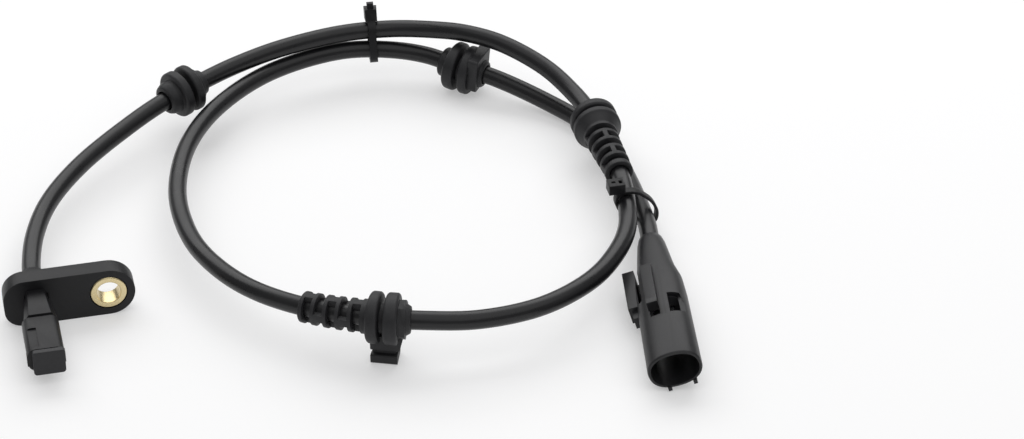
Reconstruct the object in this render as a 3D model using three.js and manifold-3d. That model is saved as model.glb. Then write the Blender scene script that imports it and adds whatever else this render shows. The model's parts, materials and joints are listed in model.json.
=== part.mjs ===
import * as THREE from 'three';
import { mergeVertices } from 'three/addons/utils/BufferGeometryUtils.js';
import Module from 'manifold-3d';

const wasm = await Module();
wasm.setup();

// Wheel speed sensor with its lead. Millimetres, Z up, floor at z = 0.
// X runs along the flange, the probe points along -Y and the cable leaves along +Y.

// General
const clearance = 0.3;
const roundSegments = 36;
const overlap = 0.4;

// Flange and bush
const flangeLength = 34.5;
const flangeHeight = 14;
const flangeThickness = 5;
const flangeEdge = 0.5;
const flangeCorner = 4.2;
const axisZ = flangeHeight / 2;
const probeInset = 8.45;
const bushInset = 7.05;
const probeX = probeInset - flangeLength / 2;
const bushX = flangeLength / 2 - bushInset;
const bushOuter = 4.9;
const bushBore = 3.25;
const bushProud = 0.1;
const bushEdge = 0.3;
const bushFit = 0.15;

// Probe and boss
const neckReach = 11.3;
const neckRootTopWidth = 3.9;
const neckRootWidth = 6.8;
const neckRootShift = -0.25;
const neckTopWidth = 5.8;
const neckWidth = 9.2;
const neckTop = 4.1;
const neckBottom = 3.6;
const neckShoulder = 1.9;
const neckChamfer = 1.2;
const grooveLength = 0.8;
const grooveInset = 0.6;
const grooveCorner = 1;
const sleeveEnd = 25.4;
const sleeveWidth = 9.6;
const sleeveTop = 3.7;
const sleeveBottom = 3.7;
const sleeveTopCorner = 1.2;
const sleeveBottomCorner = 2.6;
const sleevePanelInset = 1;
const sleevePanelWidth = 2.3;
const sleevePanelStart = 3.2;
const sleevePanelDepth = 0.3;
const earLength = 2;
const earHeight = 3;
const earReach = 0.25;
const probeReach = 27;
const bossReach = 11;
const bossRootRadius = 4.9;
const bossTipRadius = 4.3;
const cavityWidth = 6.4;
const cavityHeight = 5.5;
const cavityCorner = 0.4;
const cavityEnd = 1;

// Nose block and what it holds
const noseWidth = 7.8;
const noseHeight = 6.4;
const noseCorner = 0.5;
const noseEdge = 0.25;
const shankWidth = 5.8;
const shankHeight = 4.9;
const shankCorner = 0.3;
const shankEnd = 8;
const pocketWidth = 4.6;
const pocketHeight = 3.9;
const noseWall = 0.8;
const chipWidth = 4;
const chipThickness = 1.1;
const chipHeight = 3.3;
const magnetWidth = 3.6;
const magnetThickness = 2.2;
const magnetHeight = 2.3;
const stripWidth = 0.9;
const stripThickness = 0.4;
const stripEnd = 6;
const coreSpacing = 1.25;
const coreRadius = 0.75;
const coreLevel = 1.2;
const coreReach = 3.7;
const cableStart = 4;

// Cable
const cableRadius = 2.55;
const cableSides = 10;
const cableSteps = 80;
const mouldingFit = 0.35;
const boreRadius = cableRadius + mouldingFit;
const strandGap = 0.4;

// Rubber mouldings, measured along the cable
const rearLeftStation = 102.7;
const rearRightStation = 608.8;
const bootStation = 249.4;
const clipStation = 386.6;
const rearLeftDiscRadius = 7.1;
const rearRightDiscRadius = 7.2;
const bootDiscRadius = 6.8;
const clipDiscRadius = 6.9;
const backDiscWidth = 2.6;
const frontDiscWidth = 2.4;
const clipFrontDiscWidth = 3.2;
const discEdge = 0.5;
const grooveBack = -1.4;
const grooveFront = 0.6;
const grooveRadius = 4;
const endRadius = 3.5;
const rearLeftBackHub = 4.9;
const rearLeftBackLength = 3.4;
const rearLeftFrontHub = 5.2;
const rearLeftFrontLength = 1.4;
const rearLeftLip = 4.1;
const rearLeftLipLength = 1.8;
const rearRightBackHub = 4.4;
const rearRightBackLength = 3.2;
const rearRightHub = 5.6;
const rearRightHubLength = 3.7;
const rearRightLip = 4.2;
const rearRightLipLength = 0.9;
const bootBackHub = 4.4;
const bootBackLength = 1;
const bootBar = 1.3;
const bootWindow = 2.3;
const bootPitch = 3.5;
const bootRows = 5;
const bootLatticeStart = 5.85;
const bootLatticeRadius = 4.8;
const bootLatticeEndRadius = 4;
const bootEndLength = 1.1;
const latticeGap = 0.75;
const latticeBore = boreRadius + latticeGap / 2;
const clipBar = 2.1;
const clipWindow = 2.3;
const clipPitch = 3.3;
const clipRows = 5;
const clipLatticeStart = -5.2;
const clipLatticeRadius = 4.6;
const clipLatticeEndRadius = 4.2;
const clipEndLength = 0.6;
const clipHub = 4.9;
const clipHubLength = 1.8;
const clipLip = 4.3;
const clipLipLength = 1.3;
const footDrop = 12.8;
const footHeight = 2.7;
const footFront = 3.4;
const footBack = -3.7;
const footHalfWidth = 3;
const footCorner = 0.5;
const webHalfWidth = 1.7;
const webInset = 0.5;
const wedgeHalfWidth = 2.6;
const wedgeFootLevel = 8.6;
const wedgeTopLevel = 4.2;
const wedgeFootReach = 0.6;
const wedgeTopReach = 1.6;

// Ties
const topTieStation = 163.4;
const topTieLowerStation = 580.7;
const strapWidth = 2.4;
const strapThickness = 1;
const topTieHeadLift = 0.3;
const topTieHeadWidth = 3.6;
const topTieHeadHeight = 3.6;
const topTieHeadLength = 4.1;
const topTieTailWidth = 1.9;
const topTieTailLength = 2.2;
const topTieTailHeight = 1.5;
const sideTieY = 11.8;
const sideStrap = 0.8;
const sideTieHeadX = 151.1;
const sideTieHeadWidth = 4.4;
const sideTieHeadDepth = 3.9;
const sideTieHeadHeight = 3;
const sideTieHeadBase = 13.7;
const sideTieSlotShift = 0.3;
const sideTieSlotWidth = 1.6;
const sideTieSlotDepth = 1.4;
const sideTieSlotFront = 1;
const sideTieSlotBack = 0.8;

// Connector, measured from the cable entry towards the mouth
const connectorRoll = 17;
const connectorLength = 58.6;
const connectorHalfWidth = 7.05;
const connectorHalfHeight = 5.6;
const shellSquareness = 2.3;
const shellStart = 1.2;
const collarHalfWidth = 3.9;
const collarHalfHeight = 3.85;
const collarStart = 4.5;
const waistStart = 10;
const waistHalfWidth = 4.5;
const waistHalfHeight = 4.2;
const shoulderStart = 21.5;
const shoulderHalfWidth = 6.3;
const shoulderHalfHeight = 5.15;
const entryChamfer = 0.5;
const mouthChamfer = 0.25;
const mouthLength = 0.6;
const entryDepth = 6;
const entryBoreEnd = 9;
const chamberWidth = 8;
const chamberHeight = 5;
const chamberCorner = 0.8;
const chamberEnd = 26;
const socketHalfWidth = 5.55;
const socketHalfHeight = 4.4;
const mouthWall = 0.8;
const holderEnd = 33;
const pinStart = 24;
const pinEnd = 50;
const pinWidth = 1.5;
const pinThickness = 0.6;
const pinSpacing = 2;
const railInner = 5.8;
const railOuter = 9;
const railStart = 15.6;
const railEnd = 31.5;
const railTop = 2.4;
const railBottom = -2.6;
const railFloor = 1.4;
const railFloorInset = 2;
const railSlot = 1.1;
const stepOuter = 8.2;
const stepInner = 4.6;
const stepEnd = 34.4;
const stepTop = 1;
const stepLevel = -2.4;
const ridgeCentre = -1.9;
const ridgeWidth = 3;
const ridgeStart = 19.6;
const ridgeEnd = 38;
const ridgeTop = 6.9;
const ridgeBackStep = 0.6;
const ridgeBackLength = 2;
const hookTop = 7.5;
const hookLength = 2.4;
const ridgeSlotWidth = 1.6;
const ridgeSlotDepth = 0.55;
const hookWindowLength = 3.4;
const windowFloor = 3;
const windowStart = 32.4;
const windowEnd = 40;
const windowInner = 2.2;
const windowBackOuter = 4.8;
const windowFrontOuter = 6.2;
const windowSlant = 0.9;
const nubCentre = 0.6;
const nubSpacing = 3.4;
const nubWidth = 1;
const nubLength = 3;
const nubReach = 0.4;
const nubDrop = 0.3;
const nubRoot = 0.9;

// The probe and the boss reach different distances, so the flange is moved to centre the head on Y.
const flangeY = (probeReach - bossReach) / 2;
const flangeBackY = flangeY + flangeThickness;
const bossEndY = flangeY + bossReach;

const palette = {
  housing: new THREE.MeshStandardMaterial({ name: 'black_moulding', color: 0x2b2b2d, roughness: 0.55, metalness: 0 }),
  nose: new THREE.MeshStandardMaterial({ name: 'grey_black_moulding', color: 0x363638, roughness: 0.5, metalness: 0 }),
  brass: new THREE.MeshStandardMaterial({ name: 'brass', color: 0xc9a45c, roughness: 0.3, metalness: 1 }),
  sheath: new THREE.MeshStandardMaterial({ name: 'cable_sheath', color: 0x232325, roughness: 0.38, metalness: 0 }),
  rubber: new THREE.MeshStandardMaterial({ name: 'black_rubber', color: 0x272729, roughness: 0.7, metalness: 0 }),
  nylon: new THREE.MeshStandardMaterial({ name: 'black_nylon', color: 0x242426, roughness: 0.5, metalness: 0 }),
  shell: new THREE.MeshStandardMaterial({ name: 'connector_moulding', color: 0x2a2a2c, roughness: 0.45, metalness: 0 }),
  chip: new THREE.MeshStandardMaterial({ name: 'chip_epoxy', color: 0x1c1c1e, roughness: 0.5, metalness: 0 }),
  ferrite: new THREE.MeshStandardMaterial({ name: 'ferrite', color: 0x4a4a4c, roughness: 0.5, metalness: 0.4 }),
  tin: new THREE.MeshStandardMaterial({ name: 'tinned_copper', color: 0xb4b6b8, roughness: 0.3, metalness: 1 }),
  core: new THREE.MeshStandardMaterial({ name: 'core_insulation', color: 0x8a5a34, roughness: 0.5, metalness: 0 }),
};

const group = new THREE.Group();

function addPiece(name, geometry, material) {
  const flat = geometry.toNonIndexed();
  flat.computeVertexNormals();
  const mesh = new THREE.Mesh(flat, material);
  mesh.name = name;
  group.add(mesh);
}

// Solid shapes as boolean operands
function toSolid(geometry) {
  const plain = geometry.clone();
  plain.deleteAttribute('normal');
  plain.deleteAttribute('uv');
  const merged = mergeVertices(plain, 1e-4);
  const mesh = new wasm.Mesh({
    numProp: 3,
    vertProperties: new Float32Array(merged.attributes.position.array),
    triVerts: new Uint32Array(merged.index.array),
  });
  return new wasm.Manifold(mesh);
}

function toGeometry(solid) {
  const mesh = solid.getMesh();
  const geometry = new THREE.BufferGeometry();
  geometry.setAttribute('position', new THREE.BufferAttribute(new Float32Array(mesh.vertProperties), 3));
  geometry.setIndex(new THREE.BufferAttribute(new Uint32Array(mesh.triVerts), 1));
  return geometry;
}

function boxSolid(x0, x1, y0, y1, z0, z1) {
  const geometry = new THREE.BoxGeometry(x1 - x0, y1 - y0, z1 - z0);
  geometry.translate((x0 + x1) / 2, (y0 + y1) / 2, (z0 + z1) / 2);
  return toSolid(geometry);
}

// A shape drawn in X and Z, carried along Y from y0 to y1
function prismGeometry(shape, y0, y1, edge = 0) {
  const options = { depth: y1 - y0 - 2 * edge, bevelEnabled: edge > 0 };
  if (edge > 0) {
    options.bevelThickness = edge;
    options.bevelSize = edge;
    options.bevelOffset = -edge;
    options.bevelSegments = 2;
  }
  const geometry = new THREE.ExtrudeGeometry(shape, options);
  geometry.translate(0, 0, edge);
  geometry.rotateX(Math.PI / 2);
  geometry.translate(0, y1, 0);
  return geometry;
}

function prismSolid(shape, y0, y1, edge = 0) {
  return toSolid(prismGeometry(shape, y0, y1, edge));
}

function polygonShape(points) {
  return new THREE.Shape(points.map(([x, z]) => new THREE.Vector2(x, z)));
}

// A rectangle with round corners, one radius for the two upper and one for the two lower corners
function roundedShape(x0, x1, z0, z1, topCorner, bottomCorner) {
  const steps = roundSegments / 4;
  const corners = [
    [x0 + bottomCorner, z0 + bottomCorner, bottomCorner, Math.PI],
    [x1 - bottomCorner, z0 + bottomCorner, bottomCorner, 1.5 * Math.PI],
    [x1 - topCorner, z1 - topCorner, topCorner, 0],
    [x0 + topCorner, z1 - topCorner, topCorner, 0.5 * Math.PI],
  ];
  const points = [];
  for (const [x, z, radius, start] of corners) {
    for (let i = 0; i <= steps; i += 1) {
      const angle = start + 0.5 * Math.PI * i / steps;
      const point = new THREE.Vector2(x + radius * Math.cos(angle), z + radius * Math.sin(angle));
      const last = points[points.length - 1];
      if (!last || last.distanceTo(point) > 1e-3) points.push(point);
    }
  }
  if (points[0].distanceTo(points[points.length - 1]) < 1e-3) points.pop();
  return new THREE.Shape(points);
}

function octagonShape(radius, lift = 0) {
  const points = [];
  for (let i = 0; i < 8; i += 1) {
    const angle = (i + 0.5) * Math.PI / 4;
    const reach = radius / Math.cos(Math.PI / 8);
    points.push([reach * Math.cos(angle), lift + reach * Math.sin(angle)]);
  }
  return polygonShape(points);
}

// A ring turned about the Y axis from a closed outline of radius and length pairs
function turnedSolid(outline) {
  const points = outline.map(([radius, along]) => new THREE.Vector2(radius, along));
  points.push(points[0].clone());
  return toSolid(new THREE.LatheGeometry(points, roundSegments));
}

function rodSolid(radius, y0, y1, x = 0, z = 0, endRadius2 = radius) {
  const geometry = new THREE.CylinderGeometry(endRadius2, radius, y1 - y0, roundSegments);
  geometry.translate(x, (y0 + y1) / 2, z);
  return toSolid(geometry);
}

// Sensor head. Everything is drawn about the probe axis or the flange centre and then moved into place.
function inHead(solid, x = probeX) {
  return solid.translate([x, flangeY, axisZ]);
}

const flangeRadius = flangeHeight / 2;
const halfFlange = flangeLength / 2;
const flangeShape = roundedShape(-halfFlange, halfFlange, -flangeRadius, flangeRadius, flangeRadius, flangeRadius);
let housing = inHead(prismSolid(flangeShape, 0, flangeThickness, flangeEdge), 0);
const squareEndShape = roundedShape(-halfFlange, 0, -flangeRadius, flangeRadius, flangeRadius, flangeCorner);
housing = housing.add(inHead(prismSolid(squareEndShape, 0, flangeThickness, flangeEdge), 0));
const bushHole = rodSolid(bushOuter + bushFit, -clearance, flangeThickness + clearance);
housing = housing.subtract(inHead(bushHole, bushX));

// The neck widens from the flange to the groove, so it is the hull of its two end sections.
function neckSection(width, topWidth, shift) {
  const half = width / 2;
  const shape = polygonShape([
    [shift - half, -neckBottom + neckChamfer],
    [shift - half + neckChamfer, -neckBottom],
    [shift + half - neckChamfer, -neckBottom],
    [shift + half, -neckBottom + neckChamfer],
    [shift + half, neckTop - neckShoulder],
    [shift + topWidth / 2, neckTop],
    [shift - topWidth / 2, neckTop],
    [shift - half, neckTop - neckShoulder],
  ]);
  return shape;
}
const neckRoot = prismSolid(neckSection(neckRootWidth, neckRootTopWidth, neckRootShift), 0, overlap);
const neckTip = prismSolid(neckSection(neckWidth, neckTopWidth, 0), -neckReach, -neckReach + overlap);
housing = housing.add(inHead(wasm.Manifold.hull([neckRoot, neckTip])));

const halfGroove = neckWidth / 2 - grooveInset;
const grooveShape = roundedShape(
  -halfGroove, halfGroove, -neckBottom + grooveInset, neckTop - 2 * grooveInset, grooveCorner, grooveCorner);
housing = housing.add(inHead(prismSolid(grooveShape, -neckReach - grooveLength - overlap, -neckReach + overlap)));

const halfSleeve = sleeveWidth / 2;
const sleeveBack = -neckReach - grooveLength;
const sleeveShape = roundedShape(-halfSleeve, halfSleeve, -sleeveBottom, sleeveTop, sleeveTopCorner, sleeveBottomCorner);
let sleeve = prismSolid(sleeveShape, -sleeveEnd, sleeveBack);
const panelLeft = -halfSleeve + sleevePanelInset;
sleeve = sleeve.subtract(boxSolid(
  panelLeft, panelLeft + sleevePanelWidth, -sleeveEnd + sleevePanelInset, sleeveBack - sleevePanelStart,
  sleeveTop - sleevePanelDepth, sleeveTop + clearance));
for (const side of [-1, 1]) {
  const earInner = side * (halfSleeve - overlap);
  const earOuter = side * (halfSleeve + earReach);
  sleeve = sleeve.add(boxSolid(
    Math.min(earInner, earOuter), Math.max(earInner, earOuter), -sleeveEnd, -sleeveEnd + earLength,
    -earHeight / 2, earHeight / 2));
}
housing = housing.add(inHead(sleeve));
housing = housing.add(inHead(rodSolid(
  bossRootRadius, flangeThickness - overlap, bossReach, 0, 0, bossTipRadius)));

const cavityShape = roundedShape(
  -cavityWidth / 2, cavityWidth / 2, -cavityHeight / 2, cavityHeight / 2, cavityCorner, cavityCorner);
housing = housing.subtract(inHead(prismSolid(cavityShape, -sleeveEnd - clearance, cavityEnd)));
housing = housing.subtract(inHead(rodSolid(cableRadius + clearance, cavityEnd - overlap, bossReach + clearance)));
addPiece('head_housing', toGeometry(housing), palette.housing);

const bush = turnedSolid([
  [bushBore, -bushProud],
  [bushOuter - bushEdge, -bushProud],
  [bushOuter, bushEdge - bushProud],
  [bushOuter, flangeThickness + bushProud - bushEdge],
  [bushOuter - bushEdge, flangeThickness + bushProud],
  [bushBore, flangeThickness + bushProud],
]);
addPiece('mounting_bush', toGeometry(inHead(bush, bushX)), palette.brass);

// Nose block, its pocket and the parts that sit in the pocket
const noseBack = -sleeveEnd - clearance;
const noseShape = roundedShape(-noseWidth / 2, noseWidth / 2, -noseHeight / 2, noseHeight / 2, noseCorner, noseCorner);
const shankShape = roundedShape(
  -shankWidth / 2, shankWidth / 2, -shankHeight / 2, shankHeight / 2, shankCorner, shankCorner);
const pocketFront = -probeReach + noseWall;
let carrier = prismSolid(noseShape, -probeReach, noseBack, noseEdge);
carrier = carrier.add(prismSolid(shankShape, noseBack - overlap, -shankEnd));
carrier = carrier.subtract(boxSolid(
  -pocketWidth / 2, pocketWidth / 2, pocketFront, -shankEnd + clearance, -pocketHeight / 2, pocketHeight / 2));
addPiece('element_carrier', toGeometry(inHead(carrier)), palette.nose);

const chipFront = pocketFront + clearance;
const chipBack = chipFront + chipThickness;
const chipSolid = boxSolid(-chipWidth / 2, chipWidth / 2, chipFront, chipBack, -chipHeight / 2, chipHeight / 2);
addPiece('hall_chip', toGeometry(inHead(chipSolid)), palette.chip);

const magnetFront = chipBack + clearance;
const magnetBottom = -pocketHeight / 2 + clearance;
const magnetSolid = boxSolid(
  -magnetWidth / 2, magnetWidth / 2, magnetFront, magnetFront + magnetThickness, magnetBottom, magnetBottom + magnetHeight);
addPiece('bias_magnet', toGeometry(inHead(magnetSolid)), palette.ferrite);

for (const [side, label] of [[-1, 'left'], [1, 'right']]) {
  const x = side * coreSpacing;
  const strip = boxSolid(
    x - stripWidth / 2, x + stripWidth / 2, magnetFront, -stripEnd, coreLevel - stripThickness / 2, coreLevel + stripThickness / 2);
  addPiece(`carrier_terminal_${label}`, toGeometry(inHead(strip)), palette.tin);
  const core = rodSolid(coreRadius, -stripEnd + clearance, coreReach, x, coreLevel);
  addPiece(`head_core_${label}`, toGeometry(inHead(core)), palette.core);
}

// Cable route: out of the boss, over the first grommet and the top tie, down through the boot,
// round the front of the loop, back under the top tie and down to the connector.
const routePoints = [
  [probeX, flangeY + cableStart, axisZ],
  [probeX, bossEndY, axisZ],
  [-8.5, 25, 7.1],
  [-6.1, 37.9, 7.6],
  [-0.6, 51.9, 8.3],
  [9.8, 66.6, 9.2],
  [25.1, 80.9, 10.7],
  [36.6, 89.6, 11.9],
  [48.6, 96.7, 13],
  [59.2, 100.8, 14],
  [73.3, 105.4, 15],
  [91.8, 109, 15.3],
  [106.6, 108.5, 15.9],
  [118.2, 102.9, 17],
  [126.4, 95.9, 18],
  [135.3, 88.4, 17.3],
  [146.2, 77.8, 14.6],
  [152.4, 66.5, 12.3],
  [154.1, 56, 11.7],
  [154.2, 40, 11.6],
  [154.7, 24, 11],
  [153.4, 13, 10.4],
  [150.4, 1, 10.2],
  [144.7, -9.4, 10.2],
  [134.8, -20.6, 10.6],
  [118.8, -30, 11.4],
  [101.8, -32.9, 12.2],
  [88, -31.1, 12.9],
  [74.6, -26.4, 12.9],
  [57.5, -16, 12],
  [45, -2.6, 11.1],
  [36.2, 16, 10.2],
  [33.6, 33, 9.7],
  [34.9, 50.5, 9.4],
  [41.3, 71.2, 9.3],
  [52.7, 88.3, 9.4],
  [70.4, 102.3, 9.6],
  [91.8, 108.3, 9.8],
  [106.2, 106.5, 9.8],
  [116.7, 102.1, 8.7],
  [125, 95, 7.5],
  [133.5, 88.6, 6.4],
  [146.2, 77, 3.3],
  [155.5, 63.5, 2.6],
  [159.2, 48, 2.6],
  [159.5, 34, 3.2],
  [158.8, 20.5, 4.8],
  [157.5, 6.3, 6.6],
];
const connectorEntry = new THREE.Vector3(156.4, -0.6, 7.05);
const connectorHeading = new THREE.Vector3(-0.1545, -0.988, -0.003).normalize();
const routeEnd = connectorEntry.clone().addScaledVector(connectorHeading, entryDepth);
const route = new THREE.CatmullRomCurve3(
  [...routePoints.map(([x, y, z]) => new THREE.Vector3(x, y, z)), connectorEntry, routeEnd]);
route.arcLengthDivisions = 2000;
const routeLength = route.getLength();

const cableShape = new THREE.Shape();
for (let i = 0; i < cableSides; i += 1) {
  const angle = 2 * Math.PI * i / cableSides;
  const corner = [cableRadius * Math.cos(angle), cableRadius * Math.sin(angle)];
  if (i === 0) cableShape.moveTo(...corner);
  else cableShape.lineTo(...corner);
}
cableShape.closePath();
const cable = new THREE.ExtrudeGeometry(cableShape, { steps: cableSteps, extrudePath: route, bevelEnabled: false });
addPiece('cable', toGeometry(toSolid(cable)), palette.sheath);

// Direction, sideways and upward axes of the route at a station
function routeFrame(station) {
  const at = Math.min(Math.max(station / routeLength, 0), 1);
  const along = route.getTangentAt(at);
  const up = new THREE.Vector3(0, 0, 1);
  up.addScaledVector(along, -along.z).normalize();
  const side = along.clone().cross(up);
  return { origin: route.getPointAt(at), along, side, up };
}

// Carries a piece drawn straight along Y round the curve of the cable
function alongRoute(solid, station) {
  const bent = solid.warp((vertex) => {
    const frame = routeFrame(station + vertex[1]);
    const point = frame.origin.clone();
    point.addScaledVector(frame.side, vertex[0]);
    point.addScaledVector(frame.up, vertex[2]);
    vertex[0] = point.x;
    vertex[1] = point.y;
    vertex[2] = point.z;
  });
  return toGeometry(bent);
}

// Outer outline of two discs with a groove between them
function discOutline(disc, frontWidth = frontDiscWidth) {
  const back = grooveBack - backDiscWidth;
  const front = grooveFront + frontWidth;
  return [
    [disc - discEdge, back],
    [disc, back + discEdge],
    [disc, grooveBack - discEdge],
    [disc - discEdge, grooveBack],
    [grooveRadius, grooveBack],
    [grooveRadius, grooveFront],
    [disc - discEdge, grooveFront],
    [disc, grooveFront + discEdge],
    [disc, front - discEdge],
    [disc - discEdge, front],
  ];
}
const discBack = grooveBack - backDiscWidth;
const discFront = grooveFront + frontDiscWidth;

// Left rear grommet: a domed hub behind the discs, a stepped one before them
const rearLeftEnd = discFront + rearLeftFrontLength + rearLeftLipLength;
const rearLeft = turnedSolid([
  [boreRadius, discBack - rearLeftBackLength],
  [endRadius, discBack - rearLeftBackLength],
  [(endRadius + rearLeftBackHub) / 2, discBack - 0.9 * rearLeftBackLength],
  [rearLeftBackHub, discBack - 0.4 * rearLeftBackLength],
  [rearLeftBackHub, discBack],
  ...discOutline(rearLeftDiscRadius),
  [rearLeftFrontHub, discFront],
  [rearLeftFrontHub - discEdge, discFront + rearLeftFrontLength],
  [rearLeftLip, discFront + rearLeftFrontLength],
  [endRadius, rearLeftEnd],
  [boreRadius, rearLeftEnd],
]);
addPiece('grommet_rear_left', alongRoute(rearLeft, rearLeftStation), palette.rubber);

// Right rear grommet: its front hub is an eight sided block
const rearRightBlockEnd = discFront + rearRightHubLength;
const rearRightEnd = rearRightBlockEnd + rearRightLipLength;
const rearRightTurned = turnedSolid([
  [boreRadius, discBack - rearRightBackLength],
  [endRadius, discBack - rearRightBackLength],
  [rearRightBackHub, discBack - 0.8 * rearRightBackLength],
  [rearRightBackHub, discBack],
  ...discOutline(rearRightDiscRadius),
  [rearRightLip, discFront],
  [rearRightLip, rearRightBlockEnd],
  [endRadius, rearRightEnd],
  [boreRadius, rearRightEnd],
]);
const rearRightBlock = prismSolid(octagonShape(rearRightHub), discFront - overlap, rearRightBlockEnd);
const rearRightBore = rodSolid(boreRadius, discFront - 2 * overlap, rearRightEnd);
const rearRight = rearRightTurned.add(rearRightBlock.subtract(rearRightBore));
addPiece('grommet_rear_right', alongRoute(rearRight, rearRightStation), palette.rubber);

// Windows of a lattice row, beside the bars that stay at top and bottom or at the two sides
function latticeWindows(centre, bar, length, sideways) {
  const reach = 2 * rearRightDiscRadius;
  const half = bar / 2;
  const y0 = centre - length / 2;
  const y1 = centre + length / 2;
  if (sideways) {
    return boxSolid(half, reach, y0, y1, -reach, reach).add(boxSolid(-reach, -half, y0, y1, -reach, reach));
  }
  return boxSolid(-reach, reach, y0, y1, half, reach).add(boxSolid(-reach, reach, y0, y1, -reach, -half));
}

// Boot: a lattice tube that stands clear of the cable and ends open
const bootLatticeEnd = bootLatticeStart + bootRows * bootPitch;
const bootEnd = bootLatticeEnd + bootEndLength;
let boot = turnedSolid([
  [boreRadius, discBack - bootBackLength],
  [endRadius, discBack - bootBackLength],
  [bootBackHub, discBack - 0.4 * bootBackLength],
  [bootBackHub, discBack],
  ...discOutline(bootDiscRadius),
  [bootLatticeRadius, bootLatticeStart - discEdge],
  [bootLatticeRadius, bootLatticeStart],
  [bootLatticeEndRadius, bootLatticeEnd],
  [bootLatticeEndRadius, bootEnd],
  [latticeBore, bootEnd],
  [latticeBore, bootLatticeStart],
  [boreRadius, bootLatticeStart - latticeGap],
]);
for (let row = 0; row < bootRows; row += 1) {
  const centre = bootLatticeStart + (row + 0.5) * bootPitch;
  boot = boot.subtract(latticeWindows(centre, bootBar, bootWindow, row % 2 === 1));
}
addPiece('grommet_boot', alongRoute(boot, bootStation), palette.rubber);

// Stations grow from the right end of this moulding to its left end, so it is drawn facing back.
const clipLatticeEnd = clipLatticeStart - clipRows * clipPitch;
const clipDiscFront = grooveFront + clipFrontDiscWidth;
const clipHubEnd = clipDiscFront + clipHubLength;
const clipEnd = clipHubEnd + clipLipLength;
let clip = turnedSolid([
  [latticeBore, clipLatticeEnd - clipEndLength],
  [clipLatticeEndRadius, clipLatticeEnd - clipEndLength],
  [clipLatticeEndRadius, clipLatticeEnd],
  [clipLatticeRadius, clipLatticeStart],
  [clipLatticeRadius, discBack],
  ...discOutline(clipDiscRadius, clipFrontDiscWidth),
  [clipLip, clipDiscFront],
  [clipLip, clipHubEnd],
  [endRadius, clipEnd],
  [boreRadius, clipEnd],
  [boreRadius, clipLatticeStart + latticeGap],
  [latticeBore, clipLatticeStart],
]);
for (let row = 0; row < clipRows; row += 1) {
  const centre = clipLatticeStart - (row + 0.5) * clipPitch;
  clip = clip.subtract(latticeWindows(centre, clipBar, clipWindow, row % 2 === 0));
}
const clipBore = rodSolid(boreRadius, 2 * footBack, 2 * clipEnd);
clip = clip.add(prismSolid(octagonShape(clipHub), clipDiscFront - overlap, clipHubEnd).subtract(clipBore));
const footTop = -footDrop + footHeight;
const footShape = roundedShape(-footHalfWidth, footHalfWidth, -footDrop, footTop, footCorner, footCorner);
clip = clip.add(prismSolid(footShape, footBack, footFront));
clip = clip.add(boxSolid(
  -webHalfWidth, webHalfWidth, footBack + webInset, footFront - webInset, footTop - overlap, -grooveRadius));
const wedge = polygonShape([
  [footBack, -wedgeFootLevel],
  [footFront + wedgeFootReach, -wedgeFootLevel],
  [footFront + wedgeTopReach, -wedgeTopLevel],
  [footBack, -wedgeTopLevel],
]);
const wedgeGeometry = new THREE.ExtrudeGeometry(wedge, { depth: 2 * wedgeHalfWidth, bevelEnabled: false });
wedgeGeometry.translate(0, 0, -wedgeHalfWidth);
wedgeGeometry.rotateX(Math.PI / 2);
wedgeGeometry.rotateZ(Math.PI / 2);
clip = clip.add(toSolid(wedgeGeometry).subtract(clipBore));
clip = clip.rotate([0, 0, 180]);
addPiece('grommet_front_clip', alongRoute(clip, clipStation), palette.rubber);

// Closed tie round the two strands at the top of the loop, leaning with the line between the strands
const upperFrame = routeFrame(topTieStation);
const lowerPoint = routeFrame(topTieLowerStation).origin;
const between = lowerPoint.clone().sub(upperFrame.origin);
const strandDrop = Math.hypot(between.dot(upperFrame.side), between.dot(upperFrame.up));
const tieLean = Math.atan2(between.dot(upperFrame.side), -between.dot(upperFrame.up));
const tieInner = cableRadius + strandGap;
const tieOuter = tieInner + strapThickness;
const bandShape = roundedShape(-tieOuter, tieOuter, -strandDrop - tieOuter, tieOuter, tieOuter, tieOuter);
const bandHole = roundedShape(-tieInner, tieInner, -strandDrop - tieInner, tieInner, tieInner, tieInner);
let topTie = prismSolid(bandShape, -strapWidth / 2, strapWidth / 2);
const headBase = tieInner + topTieHeadLift;
topTie = topTie.add(boxSolid(
  -topTieHeadLength / 2, topTieHeadLength / 2, -topTieHeadWidth / 2, topTieHeadWidth / 2, headBase, headBase + topTieHeadHeight));
const tailBase = headBase + topTieHeadHeight;
topTie = topTie.add(boxSolid(
  -topTieTailLength / 2, topTieTailLength / 2, -topTieTailWidth / 2, topTieTailWidth / 2,
  tailBase - overlap, tailBase + topTieTailHeight));
topTie = topTie.subtract(prismSolid(bandHole, -strapWidth, strapWidth));
const leaning = new THREE.Matrix4().makeRotationY(-tieLean);
topTie = topTie.transform(leaning.toArray());
addPiece('cable_tie_top', alongRoute(topTie, topTieStation), palette.nylon);

// Loose tie beside the boot: a hand shaped hoop standing across the two strands
const hoopPoints = [
  [149.5, 11.6],
  [150.6, 13.6],
  [153.4, 14.2],
  [156.2, 13.7],
  [158.7, 12],
  [161, 9.6],
  [162.5, 6.2],
  [162, 3.2],
  [159.6, 2],
  [156.4, 2.4],
  [152.6, 5],
  [150, 8.9],
];
function hoopOutline(shrink) {
  const curve = new THREE.CatmullRomCurve3(hoopPoints.map(([x, z]) => new THREE.Vector3(x, z, 0)), true);
  const points = [];
  const count = 48;
  for (let i = 0; i < count; i += 1) {
    const point = curve.getPointAt(i / count);
    const along = curve.getTangentAt(i / count);
    points.push(new THREE.Vector2(point.x - along.y * shrink, point.y + along.x * shrink));
  }
  return points;
}
let sideTie = prismSolid(new THREE.Shape(hoopOutline(0)), sideTieY, sideTieY + strapWidth);
const sideHeadTop = sideTieHeadBase + sideTieHeadHeight;
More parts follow.
